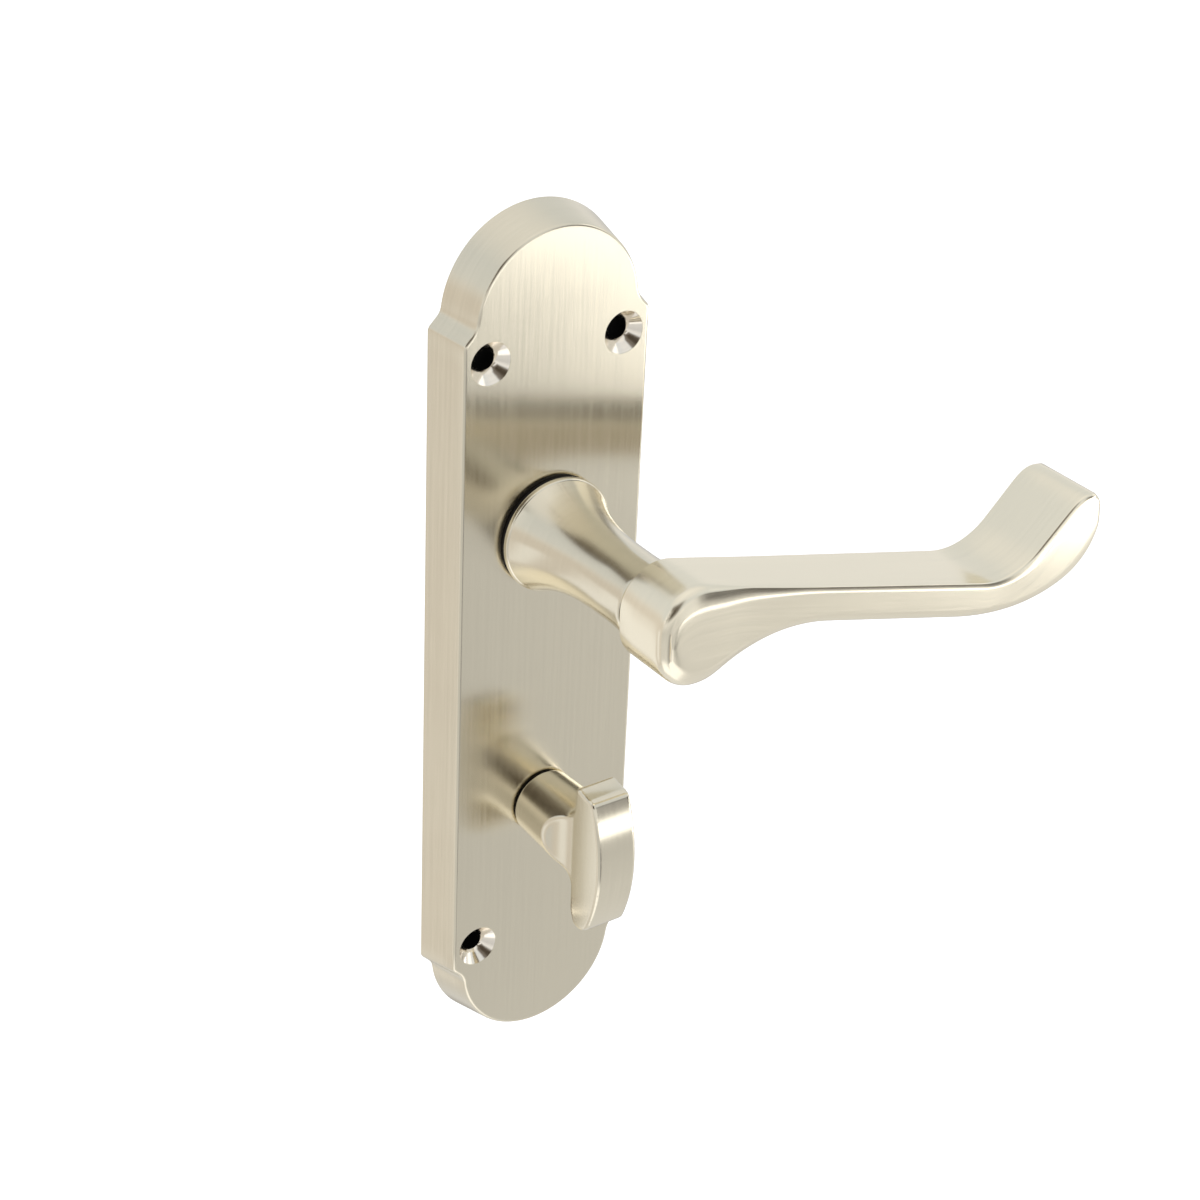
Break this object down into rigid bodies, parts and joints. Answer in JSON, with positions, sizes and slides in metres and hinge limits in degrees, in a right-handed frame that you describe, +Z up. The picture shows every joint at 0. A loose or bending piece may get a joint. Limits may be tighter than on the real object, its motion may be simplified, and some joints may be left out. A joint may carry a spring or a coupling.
{
  "type": "door lever handle",
  "caption": "Sprung scroll lever on a tall arched backplate with countersunk fixing holes and a bathroom thumbturn below.",
  "frame": {"origin": "the lever's turning axis where it crosses the door's face", "axes": "+X along the lever, +Y into the door, +Z up the door"},
  "size_m": [0.112, 0.0817, 0.17],
  "materials": {
    "satin_nickel": "fine brushed satin nickel plate over a zinc casting",
    "black_nylon": "matt black nylon",
    "plated_steel": "bright zinc-plated steel",
    "spring_steel": "dark oiled spring steel"
  },
  "bodies": {
    "plate": {"backplate": "satin_nickel", "lever_bush": "black_nylon", "turn_bush": "black_nylon"},
    "lever": {"lever_neck": "satin_nickel", "lever_arm": "satin_nickel", "arm_screw": "plated_steel", "lever_spindle": "plated_steel", "thrust_washer": "plated_steel", "return_spring": "spring_steel", "spring_driver": "plated_steel", "lever_circlip": "spring_steel"},
    "turn": {"thumbturn": "satin_nickel", "turn_spindle": "plated_steel", "turn_pin": "plated_steel", "turn_washer": "plated_steel", "turn_wave_washer": "spring_steel", "turn_circlip": "spring_steel"}
  },
  "joints": [
    {"name": "lever_hinge", "type": "hinge", "parent": "plate", "child": "lever", "pos_m": [0, 0, 0], "axis": [0, 1, 0], "range_deg": [0, 45], "stiffness_Nm_per_rad": 0.6, "springref_deg": -20.05, "deforming": ["return_spring"]},
    {"name": "turn_hinge", "type": "hinge", "parent": "plate", "child": "turn", "pos_m": [0, 0, -0.057], "axis": [0, 1, 0], "range_deg": [0, 90]}
  ]
}
